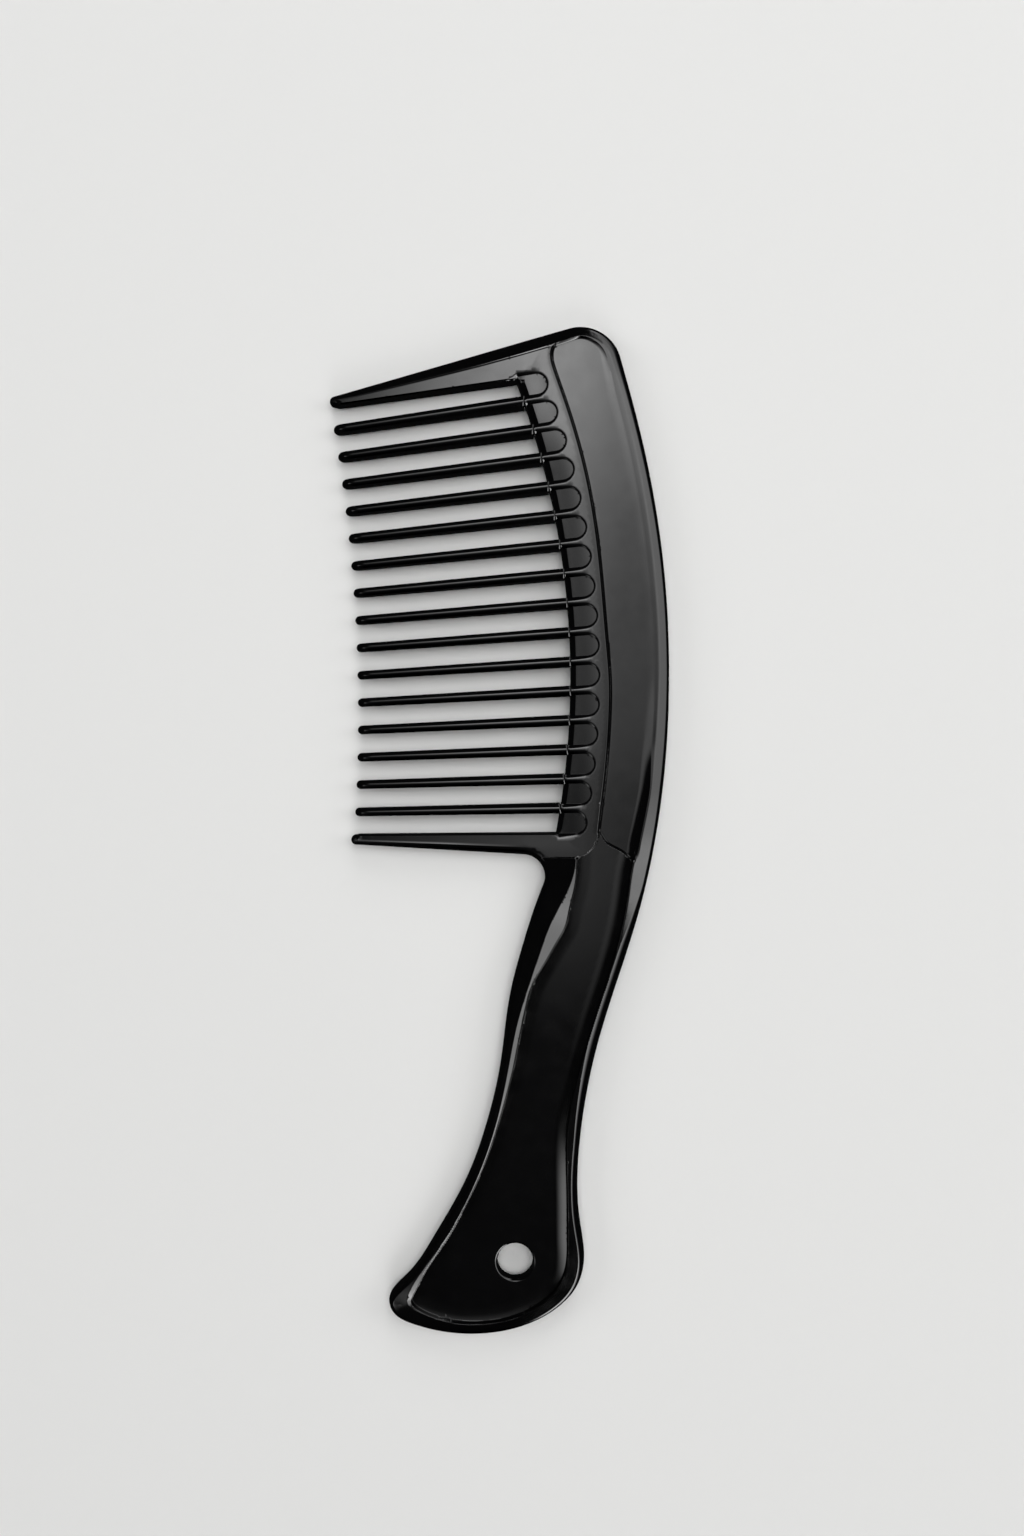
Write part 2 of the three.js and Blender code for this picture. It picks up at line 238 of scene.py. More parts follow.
def smooth_line(points, start=None, end=None):
    """A curve with steady curvature through points, leaving and arriving along start and end.
    Without start and end it is a closed loop."""
    closed = start is None
    knots = np.array(points, float)
    if closed:
        knots = np.vstack([knots, knots[:1]])
    spans = np.linalg.norm(np.diff(knots, axis=0), axis=1)
    count = len(knots)
    system = np.zeros((count, count))
    target = np.zeros((count, 2))
    for i in range(1, count - 1):
        before, after = spans[i - 1], spans[i]
        system[i, i - 1: i + 2] = after, 2 * (before + after), before
        chords = after * (knots[i] - knots[i - 1]) / before + before * (knots[i + 1] - knots[i]) / after
        target[i] = 3 * chords
    if closed:
        before, after = spans[-1], spans[0]
        system[0, [-2, 0, 1]] = after, 2 * (before + after), before
        chords = after * (knots[0] - knots[-2]) / before + before * (knots[1] - knots[0]) / after
        target[0] = 3 * chords
        system[-1, [0, -1]] = 1, -1
    else:
        system[0, 0] = system[-1, -1] = 1
        target[0], target[-1] = start, end
    slopes = np.linalg.solve(system, target)
    pieces = []
    for i, span in enumerate(spans):
        t = np.linspace(0, 1, max(2, math.ceil(span / SAMPLE)) + 1)[:-1, None]
        from_start = (2 * t ** 3 - 3 * t ** 2 + 1) * knots[i] + (t ** 3 - 2 * t ** 2 + t) * span * slopes[i]
        from_end = (3 * t ** 2 - 2 * t ** 3) * knots[i + 1] + (t ** 3 - t ** 2) * span * slopes[i + 1]
        pieces.append(from_start + from_end)
    return np.vstack(pieces if closed else pieces + [knots[-1:]])


def joined(*lines):
    """Lines end to end, without doubled points."""
    points = np.vstack(lines)
    step = np.linalg.norm(np.diff(points, axis=0), axis=1)
    return points[np.concatenate([[True], step > SAMPLE / 10])]


def ease(t):
    t = np.clip(t, 0, 1)
    return t * t * (3 - 2 * t)


def quarter(t):
    """Height of a quarter circle: steep at 0 and level from 1 on."""
    t = np.clip(t, 0, 1)
    return np.sqrt(t * (2 - t))


def settle(t):
    """Steepest at 0, and level from 1 on."""
    t = np.clip(t, 0, 1)
    return t * (2 - t)


def slide(t, bend=0.2):
    """A steady slope from 0 that bends to level just before 1."""
    t = np.clip(t, 0, 1)
    steady = 1 / (1 - bend / 2)
    return np.where(t < 1 - bend, t * steady, 1 - (1 - t) ** 2 * steady / (2 * bend))


def ramp(value, start, end):
    """0 up to start and 1 from end on, eased between."""
    return ease((value - start) / (end - start))


def mix(a, b, t):
    return a + (b - a) * t


def inside(points, loop):
    """Which points lie inside a closed polygon."""
    result = np.zeros(len(points), bool)
    x, y = points.T
    for (ax, ay), (bx, by) in zip(loop, np.roll(loop, -1, axis=0)):
        if ay == by:
            continue
        crosses = (ay > y) != (by > y)
        result ^= crosses & (x < ax + (y - ay) * (bx - ax) / (by - ay))
    return result


class Edge:
    """A dense line, which gives the distance to it and values that change smoothly along it."""

    STRIDE = 4  # between the points of the coarse line that is searched first
    WINDOW = 6  # how many points to each side are then tried
    CHUNK = 20000  # how many places are searched for at once

    def __init__(self, points, stations=(), blend=0.0, closed=False):
        self.points = np.vstack([points, points[:1]]) if closed else points
        self.values = self.spread(stations, blend, closed) if stations else None

    def spread(self, stations, blend, closed):
        """The stations' values at every point of the line, smoothed over a length of blend."""
        stations = np.array(stations, float)
        places = [np.argmin(np.linalg.norm(self.points - s, axis=1)) for s in stations[:, :2]]
        order = np.argsort(places)
        places = np.array(places)[order]
        values = stations[order, 2:]
        if closed:
            length = len(self.points) - 1
            places = np.concatenate([[places[-1] - length], places, [places[0] + length]])
            values = np.vstack([values[-1:], values, values[:1]])
        pad = round(blend / SAMPLE)
        index = np.arange(-pad, len(self.points) + pad)
        weights = np.hanning(2 * pad + 3)[1:-1]
        weights /= weights.sum()
        columns = [np.interp(index, places, column) for column in values.T]
        return np.column_stack([np.convolve(column, weights, "valid") for column in columns])

    def nearest(self, points):
        """For each point, its distance to the left of the line and where along the line that is."""
        parts = [self.nearest_few(points[i: i + self.CHUNK]) for i in range(0, len(points), self.CHUNK)]
        return [np.concatenate(column) for column in zip(*parts)]

    def nearest_few(self, points):
        coarse = self.points[:: self.STRIDE]
        offsets = points[:, None, 0] - coarse[None, :, 0], points[:, None, 1] - coarse[None, :, 1]
        guess = np.argmin(offsets[0] ** 2 + offsets[1] ** 2, axis=1) * self.STRIDE
        window = guess[:, None] + np.arange(-self.WINDOW, self.WINDOW)
        window = np.clip(window, 0, len(self.points) - 2)
        start = self.points[window]
        along = self.points[window + 1] - start
        reach = np.einsum("ijk,ijk->ij", points[:, None] - start, along)
        t = np.clip(reach / np.maximum(np.einsum("ijk,ijk->ij", along, along), 1e-12), 0, 1)
        away = points[:, None] - start - t[:, :, None] * along
        gap = np.linalg.norm(away, axis=2)
        best = np.argmin(gap, axis=1)
        rows = np.arange(len(points))
        away, along = away[rows, best], along[rows, best]
        side = np.sign(along[:, 0] * away[:, 1] - along[:, 1] * away[:, 0])
        return side * gap[rows, best], window[rows, best] + t[rows, best]

    def at(self, where):
        """The line's values at places along it, one array for each value."""
        index = np.arange(len(self.points))
        return [np.interp(where, index, column) for column in self.values.T]

    def offset(self, distances):
        """The line's points moved to its left, each by its own distance."""
        along = np.gradient(self.points, axis=0)
        along /= np.linalg.norm(along, axis=1)[:, None]
        normals = np.column_stack([-along[:, 1], along[:, 0]])
        return self.points + normals * np.reshape(distances, (-1, 1))


# ---------------------------------------------------------------- the comb's outline

def outer_line():
    """The rounded edge, from the bottom guard's nose round the handle and the back to the top
    guard's nose, with the plastic on its left."""
    across = np.array(CORNER) - TOP_NOSE
    top_angle = math.pi / 2 + math.atan2(across[1], across[0])
    top_angle += math.asin((CORNER_RADIUS - NOSE_RADIUS) / np.hypot(*across))
    corner = arc(CORNER, CORNER_RADIUS, CORNER_START, top_angle)
    top_nose = arc(TOP_NOSE, NOSE_RADIUS, top_angle, TOP_NOSE_END)
    bottom_nose = arc(BOTTOM_NOSE, NOSE_RADIUS, BOTTOM_NOSE_START, BOTTOM_NOSE_END)
    armpit = arc(ARMPIT, ARMPIT_RADIUS, math.radians(90), 0)
    body = smooth_line(
        [armpit[-1], *HANDLE_FRONT[::-1], *HANDLE_END[::-1], *SPINE[::-1], corner[0]],
        start=(0, -1), end=(-math.sin(CORNER_START), math.cos(CORNER_START)),
    )
    return joined(
        bottom_nose, straight(bottom_nose[-1], armpit[0]), armpit, body, corner,
        straight(corner[-1], top_nose[0]), top_nose,
    )


def inner_line(outer):
    """The walled edge between the guards: along the top guard, the throat and the bottom guard."""
    throat = rail(THROAT_RADIUS, TOP_GUARD_ROOT[1], BOTTOM_GUARD_ROOT[1])
    return joined(straight(outer[-1], throat[0]), throat, straight(throat[-1], outer[0]))


def foot_line():
    """Under the bottom guard, round the foot of the bar to the crease, and under the back."""
    centre = CREASE_LINE[0][0] - BAR_FOOT_RADIUS, BAR_FOOT_Y
    corner = arc(centre, BAR_FOOT_RADIUS, math.radians(-90), 0)
    back = smooth_line([corner[-1], *BACK_FOOT], start=(0.5, -0.87), end=(0.9, -0.42))
    return joined(straight(corner[0] - (FOOT_LEAD, 0), corner[0]), corner, back)


def below_foot():
    """A loop round everything below the foot's line."""
    right_end = FAR, -20
    left_end = -FAR, FOOT.points[0][1]
    return np.vstack([FOOT.points, [right_end, (FAR, -FAR), (-FAR, -FAR), left_end]])


OUTER = Edge(outer_line(), RIM, blend=3.0)
INNER = Edge(inner_line(OUTER.points), WALL, blend=0.3)
FOOT = Edge(foot_line())
CREASE = Edge(smooth_line(CREASE_LINE, start=(0.1, 1), end=(0.6, 0.8)))
DISH_EDGE = Edge(smooth_line(DISH), DISH_SIDE, blend=4.0, closed=True)
OUTLINE = joined(OUTER.points, INNER.points)[:-1]
BELOW_FOOT = below_foot()


def crossing(angle, centre, radius):
    """Where the fan line at an angle crosses a circle, on its far side."""
    along = np.array([math.cos(angle), math.sin(angle)])
    start = np.array(FAN) - centre
    half = start @ along
    return np.array(FAN) + along * (-half + math.sqrt(half * half - start @ start + radius * radius))


def gap_angle(gap):
    """The direction of a gap from FAN. Gap 0 lies above the first tooth."""
    return FAN_TOP + FAN_STEP * (0.5 - gap)


# ---------------------------------------------------------------- the plate's shape

def pockets(points):
    """Distance outside the nearest U-shaped pocket, and how far past the throat along its gap."""
    outside = np.full(len(points), FAR)
    depth = np.zeros(len(points))
    for gap in range(TOOTH_COUNT + 1):
        angle = gap_angle(gap)
        local = points - crossing(angle, ARC, THROAT_RADIUS)
        u = local @ (math.cos(angle), math.sin(angle))
        v = local @ (-math.sin(angle), math.cos(angle))
        bend = POCKET_LENGTH - POCKET_HALF
        away = np.hypot(np.maximum(u - bend, 0), v) - POCKET_HALF
        away += np.maximum(-u, 0) / 2  # outside the throat
        closer = away < outside
        outside = np.where(closer, away, outside)
        depth = np.where(closer, u, depth)
    return outside, depth


def fan_place(points):
    """Each point's place across the fan: 0 on the first tooth's axis, 1 on the next one's."""
    x, y = (points - FAN).T
    return (FAN_TOP - np.arctan2(y, x)) / FAN_STEP


def rib_half_width():
    reach = np.hypot(*(crossing(0, ARC, THROAT_RADIUS) - FAN))
    return reach * FAN_STEP / 2 - POCKET_HALF


RIB_HALF = rib_half_width()


def bar_height(points):
    """The raised bar: flat, with a pocket at each gap and a rounded rib behind each tooth."""
    y = points[:, 1]
    outside, depth = pockets(points)
    place = fan_place(points)
    beyond = ease(np.abs(place - (TOOTH_COUNT - 1) / 2) - TOOTH_COUNT / 2 - 0.2)
    flat = mix(LAND, LAND_TOP, ramp(y, 80, 100))
    crown = mix(ROOT_HALF, flat, np.maximum(ease(depth / POCKET_LENGTH), beyond))
    flank = mix(RIB_HALF, END_BEND, ramp(depth, *POCKET_BEND))
    floor = crown - POCKET_DROP - POCKET_TILT * np.clip(POCKET_LENGTH - depth, 0, POCKET_LENGTH)
    return mix(floor, crown, np.sin(math.pi / 2 * np.clip(outside / flank, 0, 1)))


def fall(reach, tilt, soft):
    """How far a slope has dropped at a reach from its top, which is rounded over soft."""
    reach = np.maximum(reach, 0)
    return tilt * np.where(reach < soft, reach ** 2 / (2 * soft), reach - soft / 2)


def dish_height(points, crest, tilt, soft):
    """The handle: a ridge that falls away to the outer edge, round a dish with a bevel and a wall."""
    away, where = DISH_EDGE.nearest(points)
    width, depth = DISH_EDGE.at(where)
    ridge = crest - fall(-away, tilt, soft)
    away = np.maximum(away, 0)
    floor = mix(DISH_TOP, DISH_END, ease(-points[:, 1] / 80))
    bevel = ridge - BEVEL_SLOPE * np.minimum(away, width)
    wall = mix(bevel, ridge - depth, ease((away - width) / WALL_WIDTH))
    return mix(wall, floor, settle((away - width) / TROUGH))


def upper_height(points, crease, ridge, inward):
    """The bar, the guards and the back. The rim's ridge gives way to them as inward goes to 1."""
    x, y = points.T
    taper = 1 - GUARD_LOSS * np.maximum(TOP_GUARD_ROOT[0] - x, 0) / (TOP_GUARD_ROOT[0] - TOP_NOSE[0])
    taper = np.where(y > ARMPIT[1], taper, 1)
    land = bar_height(points) * taper - BAR_ROLL_DROP * (1 - np.clip(crease / BAR_ROLL, 0, 1)) ** 2
    bar = mix(GROOVE, land, quarter(crease / BAR_BEND))
    back = mix(GROOVE, PANEL, quarter(-crease / BACK_BEND))
    return mix(ridge, np.where(crease > 0, bar, back), inward)


def foot_groove(x, foot, handle):
    """Depth of the groove along the back's foot: a wall on the handle's side, a bend on the other."""
    start, full, fades, end = FOOT_GROOVE_SPAN
    along = ramp(x, start, full) * (1 - ramp(x, fades, end))
    side = np.where(handle, np.clip(foot / FOOT_GROOVE_WALL, 0, 1), quarter(foot / FOOT_GROOVE_BEND))
    return FOOT_GROOVE * along * (1 - side)


def gap_slope(points):
    """The share of the height that is left on the slope at the inner end of each gap."""
    wall, where = INNER.nearest(points)
    width, share = INNER.at(where)
    place = fan_place(points)
    from_tooth = np.abs(place - np.clip(np.round(place), 0, TOOTH_COUNT - 1)) * FAN_STEP * POCKET_REACH
    in_gap = ease((from_tooth - RIB_HALF) / GAP_CORNER)
    return 1 - share * in_gap * (1 - slide(wall / width))


def half_height(points):
    """Half the plate's thickness at each point."""
    x, y = points.T
    edge, where = OUTER.nearest(points)
    rounding, rim, slope, crest, tilt, soft = OUTER.at(where)
    crease = CREASE.nearest(points)[0]
    rim = np.where((crease > 0) & (y < ARC[1]), np.minimum(rim, BAR_RIM), rim)
    ridge = crest - fall(rim - edge, tilt, soft)
    upper = upper_height(points, crease, ridge, settle((edge - rim) / slope))

    foot = np.abs(FOOT.nearest(points)[0])
    handle = inside(points, BELOW_FOOT)
    dish = dish_height(points, crest, tilt, soft)
    step = mix(np.clip(foot / FOOT_WALL, 0, 1), ease(foot / FOOT_FADED), ramp(x, *FOOT_FADE))
    height = np.where(handle, dish, mix(dish, upper, step))
    height = height - foot_groove(x, foot, handle)

    hole = np.hypot(x - HOLE[0], y - HOLE[1]) - HOLE_RADIUS
    height = height * gap_slope(points) * (1 - HOLE_LOSS * (1 - quarter(hole / HOLE_BEND)))
    return PARTING + (height - PARTING) * quarter(edge / rounding)


def plate_normals(points, height):
    """Normals of the upper face, and whether it is creased there. The square of the height
    changes evenly at a round edge."""
    slopes, bends = [], []
    for shift in ((STEP, 0), (0, STEP)):
        ahead = half_height(points + shift) ** 2
        behind = half_height(points - shift) ** 2
        slopes.append((ahead - behind) / (2 * STEP))
        bends.append(np.abs(ahead + behind - 2 * height ** 2) / STEP)
    normals = np.column_stack([-slopes[0], -slopes[1], 2 * height])
    creased = np.maximum(*bends) > CREASED * 2 * height
    return normals / np.linalg.norm(normals, axis=1)[:, None], creased


def face_normals(points, triangles, heights):
    """Normals at the corners of each triangle. At a crease they are those of its own side."""
    normals, creased = plate_normals(points, heights)
    corners, creased = normals[triangles], creased[triangles]
    spots = points[triangles]
    inward = spots.mean(axis=1, keepdims=True) - spots
    inward *= NUDGE / np.linalg.norm(inward, axis=2, keepdims=True)
    beside = (spots + inward)[creased]
    corners[creased] = plate_normals(beside, half_height(beside))[0]
    return corners


# ---------------------------------------------------------------- the plate's mesh

def thinned(line, spacing=0.45, turn=math.radians(7)):
    """Fewer points of a line: one every spacing, and more where it turns."""
    along = np.diff(line, axis=0)
    heading = np.unwrap(np.arctan2(along[:, 1], along[:, 0]))
    length = np.concatenate([[0], np.cumsum(np.linalg.norm(along, axis=1))])
    kept = [0]
    for i in range(1, len(line) - 1):
        if length[i] - length[kept[-1]] >= spacing or abs(heading[i] - heading[kept[-1]]) >= turn:
            kept.append(i)
    return np.array(kept + [len(line) - 1])


def ring_points(edge, widths):
    """Points on lines beside an edge. Each width is a distance for each point of the edge."""
    kept = thinned(edge.points)
    index = np.arange(len(edge.points))
    rings = []
    for width in widths:
        width = np.broadcast_to(width, len(edge.points))
        reach = width.astype(float)
        for _ in range(4):  # a point's nearest place on the edge moves as the point does
            ring = edge.offset(reach)[kept]
            away, where = edge.nearest(ring)
            miss = np.interp(where, index, width) - away
            reach[kept] += miss
        rings.append(ring[np.abs(miss) < RING_MISS])
    return np.vstack(rings)


def feature_points():
    """Vertices along everything that bends: edges, rims, crease, dish, pockets and hole."""
    rounding, rim, slope, _, _, soft = OUTER.values.T
    steps = [1 - math.cos(math.radians(a)) for a in (14, 28, 42, 55, 68, 80, 90)]
    width, _ = DISH_EDGE.values.T
    wall = INNER.values[:, 0]
    groups = [
        ring_points(OUTER, [rounding * s for s in steps]),
        ring_points(OUTER, [rim - soft * s for s in (0.3, 0.7, 1)]),
        ring_points(OUTER, [rim + slope * s for s in (0, 0.2, 0.5, 1)]),
        ring_points(INNER, [wall * s for s in (0.4, 0.8, 0.9, 1)]),
        ring_points(FOOT, [0.1, 0.25, 0.42, 0.6, -0.06, -0.25]),
        ring_points(CREASE, [-0.4, -0.25, -0.12, -0.04, 0, 0.04, 0.12, 0.25, 0.4, 0.6, 1]),
        ring_points(DISH_EDGE, [width * s for s in (0, 0.5, 1)]),
        ring_points(DISH_EDGE, [width + WALL_WIDTH * s for s in (0.2, 0.4, 0.6, 0.8, 1)]),
        ring_points(DISH_EDGE, [-0.15, -0.4]),
    ]
    for gap in range(TOOTH_COUNT + 1):
        groups.append(pocket_points(gap))
    for away in (0.05, 0.15, 0.3, 0.55, 1):
        groups.append(arc(HOLE, HOLE_RADIUS + away, 0, 2 * math.pi)[:-1:3])
    return np.round(np.vstack(groups), WELD_DIGITS)


def pocket_points(gap):
    """Vertices along one pocket's U-shaped edge, and along the ribs beside it."""
    angle = gap_angle(gap)
    bend = POCKET_LENGTH - POCKET_HALF
    rows = []
    for away in (-0.06, 0.02, 0.13, 0.26, 0.42, 0.7):
        half = POCKET_HALF + away
        root = straight((0.1, -half), (1.6, -half))
        sides = joined(root, straight(root[-1], (bend, -half))[::3])
        end = arc((bend, 0), half, math.radians(-90), math.radians(90))[::3]
        rows += [sides, end, sides * (1, -1)]
    rows = np.vstack(rows)
    turn = np.array([[math.cos(angle), math.sin(angle)], [-math.sin(angle), math.cos(angle)]])
    return rows @ turn + crossing(angle, ARC, THROAT_RADIUS)


def clear_of(taken, points, distance):
    """Those of the points inside the outline that are farther than distance from all taken ones."""
    tree = kdtree.KDTree(len(taken))
    for i, (x, y) in enumerate(taken):
        tree.insert((x, y, 0), i)
    tree.balance()
    points = points[inside(points, OUTLINE)]
    return np.array([p for p in points if tree.find((*p, 0))[2] > distance])


def fill_points():
    """An even grid of staggered rows over the comb."""
    low, high = OUTLINE.min(axis=0), OUTLINE.max(axis=0)
    rows = []
    for i, y in enumerate(np.arange(low[1], high[1], FILL * math.sqrt(3) / 2)):
        across = np.arange(low[0] + FILL / 2 * (i % 2), high[0], FILL)
        rows.append(np.column_stack([across, np.full(len(across), y)]))
    return np.vstack(rows)


def seam_lines():
    """The lines that divide the plate, on and a little beyond it: the foot, the crease and the
    throat behind each guard."""
    top = CORNER[1] + CORNER_RADIUS
    lines = [
        FOOT.points[thinned(FOOT.points)],
        rail(CREASE_RADIUS, BAR_FOOT_Y - 3, top)[::3],
        rail(THROAT_RADIUS, TOP_GUARD_ROOT[1], top)[::3],
        rail(THROAT_RADIUS, BOTTOM_GUARD_ROOT[1], BAR_FOOT_Y - BAR_FOOT_RADIUS)[::3],
    ]
    return [np.round(line, WELD_DIGITS) for line in lines]


def plate_mesh():
    """The comb's plan as triangles: vertices, and three of them for each triangle."""
    outline = OUTLINE[thinned(np.vstack([OUTLINE, OUTLINE[:1]]))[:-1]]
    hole = arc(HOLE, HOLE_RADIUS, 0, 2 * math.pi)[:-1:2]
    vertices, edges = [], []
    for line in [outline, hole, *seam_lines()]:
        first = len(vertices)
        vertices += list(line)
        edges += [(i, i + 1) for i in range(first, len(vertices) - 1)]
        if line is outline or line is hole:
            edges.append((len(vertices) - 1, first))
    vertices = np.vstack([vertices, clear_of(vertices, feature_points(), FEATURE_CLEAR)])
    vertices = np.vstack([vertices, clear_of(vertices, fill_points(), FILL_CLEAR)])
    result = delaunay_2d_cdt([Vector(v) for v in vertices], edges, [], 0, 1e-4, False)
    points = np.array([tuple(v) for v in result[0]])
    triangles = np.array(result[2])
    middles = points[triangles].mean(axis=1)
    in_hole = np.hypot(*(middles - HOLE).T) < HOLE_RADIUS
    return points, triangles[inside(middles, OUTLINE) & ~in_hole]


def plate_pieces(middles):
    """Which triangles belong to each named piece of the plate."""
    radius = np.hypot(*(middles - ARC).T)
    handle = inside(middles, BELOW_FOOT)
    upper = middles[:, 1] > ARC[1]
    front = (radius < THROAT_RADIUS) & ~handle
    return {
        "handle": handle,
        "guard_top": front & upper,
        "guard_bottom": front & ~upper,
        "tooth_bar": ~handle & ~front & (radius < CREASE_RADIUS),
        "back": ~handle & ~front & (radius >= CREASE_RADIUS),
    }


def wall_normals(points, edges):
    """For each end of each boundary edge, the way its wall faces, smooth except at corners."""
    along = points[edges[:, 1]] - points[edges[:, 0]]
    facing = np.column_stack([along[:, 1], -along[:, 0]])
    facing /= np.linalg.norm(facing, axis=1)[:, None]
    shared = np.zeros_like(points)
    for end in (0, 1):
        np.add.at(shared, edges[:, end], facing)
    shared /= np.maximum(np.linalg.norm(shared, axis=1), 1e-9)[:, None]
    ends = []
    for end in (0, 1):
        smooth = shared[edges[:, end]]
        sharp = np.einsum("ij,ij->i", smooth, facing) < math.cos(SHARP_TURN / 2)
        smooth[sharp] = facing[sharp]
        ends.append(np.column_stack([smooth, np.zeros(len(edges))]))
    return ends


def plate_piece(name, points, heights, triangles, normals):
    """One closed piece of the plate: both faces, and a wall all round it."""
    used, faces = np.unique(triangles, return_inverse=True)
    faces = faces.reshape(-1, 3)
    points, heights = points[used], heights[used]
    count = len(points)
    directed = np.vstack([faces[:, [0, 1]], faces[:, [1, 2]], faces[:, [2, 0]]])
    there = directed[:, 0] * count + directed[:, 1]
    back_again = directed[:, 1] * count + directed[:, 0]
    edges = directed[~np.isin(there, back_again)]
    top = np.column_stack([points, MID + heights])
    bottom = np.column_stack([points, MID - heights])
    walls = np.column_stack([edges[:, 1], edges[:, 0], edges[:, 0] + count, edges[:, 1] + count])
    polygons = faces.tolist() + (faces[:, ::-1] + count).tolist() + walls.tolist()
    start, end = wall_normals(points, edges)
    corner_normals = np.vstack([
        normals.reshape(-1, 3),
        (normals[:, ::-1] * (1, 1, -1)).reshape(-1, 3),
        np.stack([end, start, start, end], axis=1).reshape(-1, 3),
    ])
    add_piece(name, np.vstack([top, bottom]), polygons, corner_normals)


# ---------------------------------------------------------------- the teeth

def tooth_section(half_width, half_depth, drop):
    """A tooth's cross-section, anticlockwise from its right: drafted sides and a rounded crown."""
    shoulder = half_width * (1 - DRAFT)
    height = half_depth - drop
    side = [(mix(half_width, shoulder, t), height * t) for t in (0, 0.5, 0.8, 0.93)]
    crown = [shoulder * math.sin(math.radians(a)) for a in (90, 78, 66, 54, 42, 30, 20, 10, 0)]
    crown = [(v, height + drop * math.cos(math.pi / 2 * v / shoulder)) for v in crown]
    upper = side + crown + [(-v, z) for v, z in (side + crown)[-2::-1]]
    return np.array(upper + [(v, -z) for v, z in upper[-2:0:-1]])


def tooth_places(length):
    """The distances from a tooth's root at which its cross-section is set, closer at the nose."""
    nose = [NOSE_LENGTH * (1 - math.cos(math.radians(a))) for a in (8, 16, 24, 32, 42, 52, 64, 76, 90)]
    body = np.linspace(1.6, length - NOSE_LENGTH - 1, 24)
    return [0, 0.4, 0.8, *body, *(length - n for n in reversed(nose))]


def closed_loft(rings, end):
    """Points and polygons of a loft with a flat start, whose last ring closes to a point."""
    count = len(rings[0])
    polygons = [list(range(count))]
    for ring in range(len(rings) - 1):
        for i in range(count):
            a = ring * count + i
            b = ring * count + (i + 1) % count
            polygons.append([b, a, a + count, b + count])
    last = (len(rings) - 1) * count
    points = np.vstack(rings + [[end]])
    polygons += [[last + (i + 1) % count, last + i, len(points) - 1] for i in range(count)]
    return points, polygons


def tooth(number):
    """One tooth, lofted from the throat to its round nose. Its root is cut along the throat."""
    angle = FAN_TOP - FAN_STEP * (number - 1)
    root = crossing(angle, ARC, THROAT_RADIUS)
    length = math.dist(root, crossing(angle, TIPS, TIP_RADIUS))
    slant = math.tan(math.asin((root[1] - ARC[1]) / THROAT_RADIUS) - angle)
    along = np.array([-math.cos(angle), -math.sin(angle)])
    across = np.array([-math.sin(angle), math.cos(angle)])
    rings = []
    for place in tooth_places(length):
        t = place / length
        left = length - place
        round_depth = float(quarter(left / NOSE_LENGTH))
        half_width = mix(ROOT_WIDTH, END_WIDTH, t) / 2 * float(quarter(left / (END_WIDTH / 2)))
        half_depth = mix(ROOT_HALF, END_HALF, t) * round_depth
        drop = mix(ROOT_DROP, BODY_DROP, float(ease(place / ROOT_BLEND)))
        drop = mix(drop, 0.6 * half_depth, 1 - round_depth)
        section = tooth_section(half_width, half_depth, drop)
        v = section[:, :1]
        plan = root + along * place + across * v + along * (slant * v * (t - 1))
        rings.append(np.column_stack([plan, MID + section[:, 1]]))
    piece = add_piece(f"tooth_{number:02d}", *closed_loft(rings, (*(root + along * length), MID)))
    piece.data.polygons[0].use_smooth = False


# ---------------------------------------------------------------- pieces and materials

def plastic_material():
    """Glossy black plastic: slightly wavy from the mould, with a finish that varies a little."""
    material = bpy.data.materials.new("black_gloss_plastic")
    material.use_nodes = True
    nodes, links = material.node_tree.nodes, material.node_tree.links
    shader = nodes["Principled BSDF"]
    shader.inputs["IOR"].default_value = 1.5
    place = nodes.new("ShaderNodeTexCoord")

    def noise(scale, detail):
        node = nodes.new("ShaderNodeTexNoise")
        node.inputs["Scale"].default_value = scale
        node.inputs["Detail"].default_value = detail
        links.new(place.outputs["Object"], node.inputs["Vector"])
        return node.outputs["Fac"]

    def remap(value, low, high):
        node = nodes.new("ShaderNodeMapRange")
        node.inputs["From Min"].default_value = 0.3
        node.inputs["From Max"].default_value = 0.7
        node.inputs["To Min"].default_value = low
        node.inputs["To Max"].default_value = high
        links.new(value, node.inputs["Value"])
        return node.outputs["Result"]

    tone = nodes.new("ShaderNodeMix")
    tone.data_type = "RGBA"
    links.new(noise(140, 2), tone.inputs["Factor"])
    # The node's colour sockets come after the ones for numbers and vectors.
    tone.inputs[6].default_value = (0.0010, 0.0010, 0.0011, 1)
    tone.inputs[7].default_value = (0.0018, 0.0018, 0.0020, 1)
    links.new(tone.outputs[2], shader.inputs["Base Color"])
    links.new(remap(noise(260, 4), 0.07, 0.13), shader.inputs["Roughness"])

    flow = nodes.new("ShaderNodeBump")
    flow.inputs["Strength"].default_value = 0.35
    flow.inputs["Distance"].default_value = 0.00006
    links.new(noise(90, 1), flow.inputs["Height"])
    grain = nodes.new("ShaderNodeBump")
    grain.inputs["Strength"].default_value = 0.25
    grain.inputs["Distance"].default_value = 0.000004
    links.new(noise(2200, 3), grain.inputs["Height"])
    links.new(flow.outputs["Normal"], grain.inputs["Normal"])
    links.new(grain.outputs["Normal"], shader.inputs["Normal"])
    return material


PLASTIC = plastic_material()


